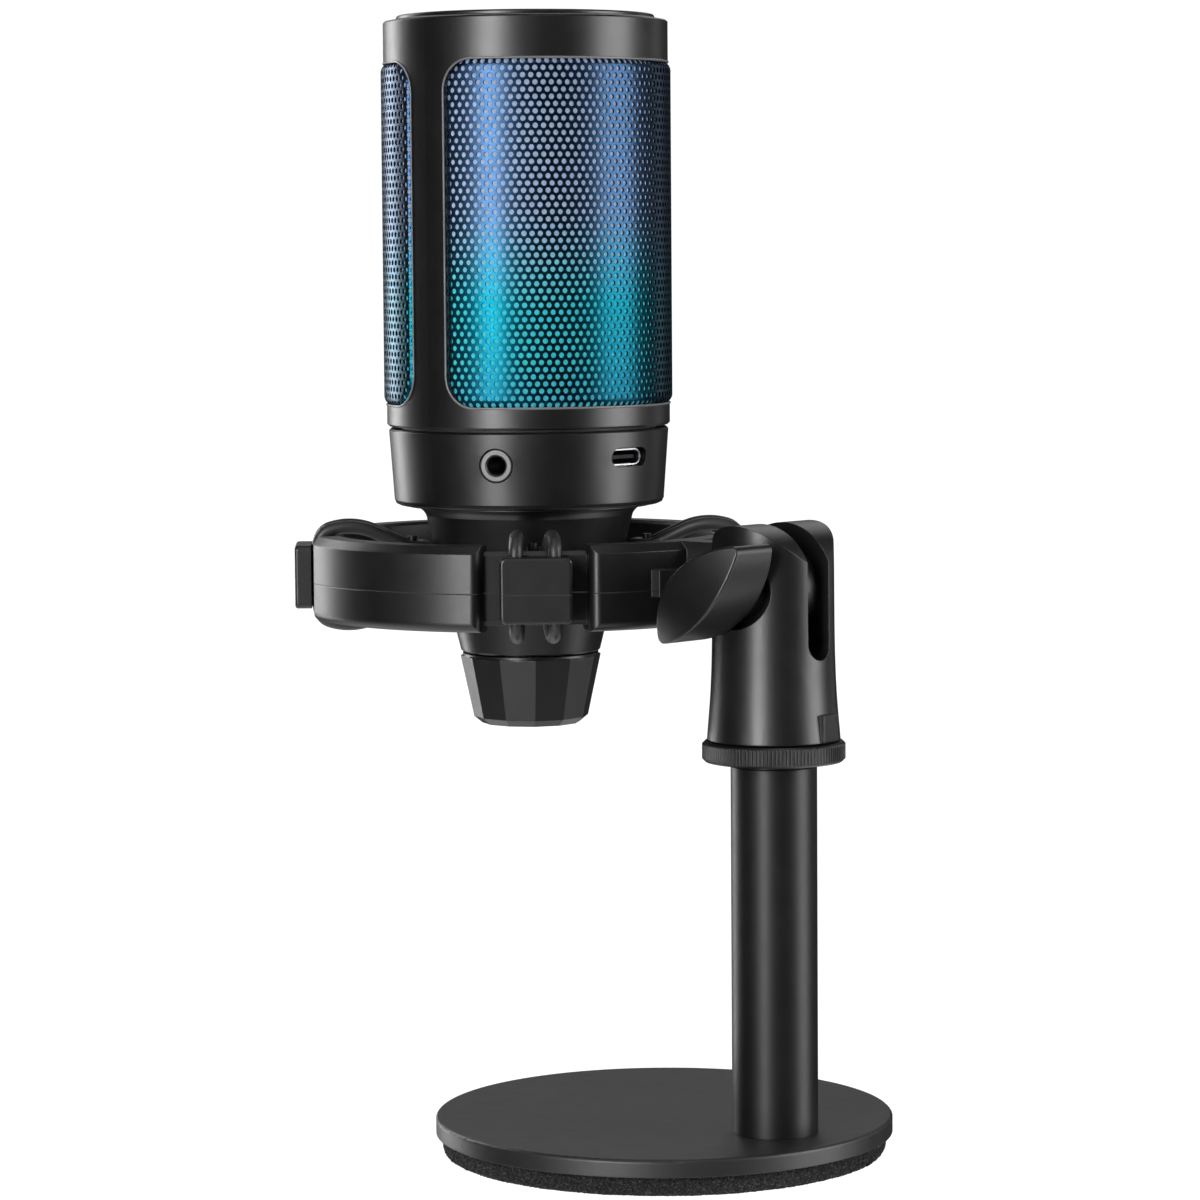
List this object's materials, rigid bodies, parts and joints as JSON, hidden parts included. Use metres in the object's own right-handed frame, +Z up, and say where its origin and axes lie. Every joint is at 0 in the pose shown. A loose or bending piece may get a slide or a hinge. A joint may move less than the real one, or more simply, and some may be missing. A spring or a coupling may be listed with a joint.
{
  "type": "desktop microphone",
  "caption": "Desktop USB condenser microphone with a lit perforated grille, hung in an elastic shock mount on a tilting, swivelling clamp head and a weighted round stand.",
  "frame": {"origin": "centre of the base disc's underside, on the table", "axes": "+Z up; -Y towards the person speaking; the post stands at +Y behind the microphone"},
  "size_m": [0.0868, 0.1206, 0.2153],
  "materials": {
    "base_foam": "porous black foam",
    "painted_steel": "fine matte charcoal powder coat",
    "painted_tube": "satin black paint",
    "moulded_black": "satin moulded black",
    "housing_satin": "smooth satin black",
    "knob_satin": "satin black facets",
    "touch_gloss": "soft gloss black",
    "grille_metal": "perforated steel, satin",
    "cord_rubber": "matte black elastic",
    "screw_steel": "plated",
    "insert_brass": "turned",
    "part_metal": "satin",
    "inner_plastic": "moulded",
    "board_green": "solder mask",
    "chip_black": "moulded",
    "socket_black": "moulded",
    "socket_metal": "plated",
    "led_white": "clear white",
    "liner_white": "open-cell foam",
    "lead_grey": "insulated"
  },
  "bodies": {
    "stand": {"foam_pad": "base_foam", "base_plate": "painted_steel", "base_screw": "screw_steel", "post_plug": "screw_steel", "post": "painted_tube"},
    "lock_ring": {"lock_ring": "moulded_black"},
    "swivel_head": {"swivel_sleeve": "moulded_black", "sleeve_insert": "insert_brass", "clamp_nut": "screw_steel"},
    "clamp_knob": {"clamp_screw": "screw_steel", "wing_knob": "moulded_black"},
    "shock_mount": {"shock_ring": "moulded_black", "pivot_bush": "screw_steel", "elastic_loop_rear_right": "cord_rubber", "elastic_loop_front_right": "cord_rubber", "elastic_loop_front_left": "cord_rubber", "elastic_loop_rear_left": "cord_rubber"},
    "microphone": {"board_chips": "chip_black", "capsule": "part_metal", "capsule_mount": "cord_rubber", "chassis": "inner_plastic", "cradle": "moulded_black", "foam_liner": "liner_white", "frame_screws": "screw_steel", "gain_pot": "part_metal", "grille_front": "grille_metal", "grille_rear": "grille_metal", "head_frame": "housing_satin", "headphone_jack": "socket_black", "led_board": "board_green", "led_chips": "led_white", "long_screws": "screw_steel", "lower_shell": "housing_satin", "main_board": "board_green", "neck_housing": "housing_satin", "neck_screws": "screw_steel", "pot_lead": "lead_grey", "pot_nut": "screw_steel", "ribbon_cable": "lead_grey", "signal_lead": "lead_grey", "touch_board": "board_green", "touch_pad": "touch_gloss", "usb_socket": "socket_metal", "usb_tongue": "socket_black"},
    "gain_knob": {"gain_knob": "knob_satin", "pot_shaft": "screw_steel"}
  },
  "joints": [
    {"name": "lock_ring_turn", "type": "hinge", "parent": "stand", "child": "lock_ring", "pos_m": [0, 0.0277, 0.0783], "axis": [0, 0, 1], "range_deg": [-360, 0]},
    {"name": "head_swivel", "type": "hinge", "parent": "stand", "child": "swivel_head", "pos_m": [0, 0.0277, 0.09], "axis": [0, 0, 1], "range_deg": [-180, 180]},
    {"name": "clamp_turn", "type": "hinge", "parent": "swivel_head", "child": "clamp_knob", "pos_m": [0, 0.0277, 0.1083], "axis": [1, 0, 0], "range_deg": [0, 540]},
    {"name": "mount_tilt", "type": "hinge", "parent": "swivel_head", "child": "shock_mount", "pos_m": [0, 0.0277, 0.1083], "axis": [-1, 0, 0], "range_deg": [-15, 90]},
    {"name": "mic_float", "type": "slide", "parent": "shock_mount", "child": "microphone", "axis": [0, 0, 1], "range_m": [-0.0025, 0.0025], "stiffness_N_per_m": 1500, "springref_m": 0.00086, "deforming": ["elastic_loop_rear_right", "elastic_loop_front_right", "elastic_loop_front_left", "elastic_loop_rear_left"]},
    {"name": "gain_turn", "type": "hinge", "parent": "microphone", "child": "gain_knob", "pos_m": [0, -0.034, 0.086], "axis": [0, 0, 1], "range_deg": [-150, 150]}
  ]
}
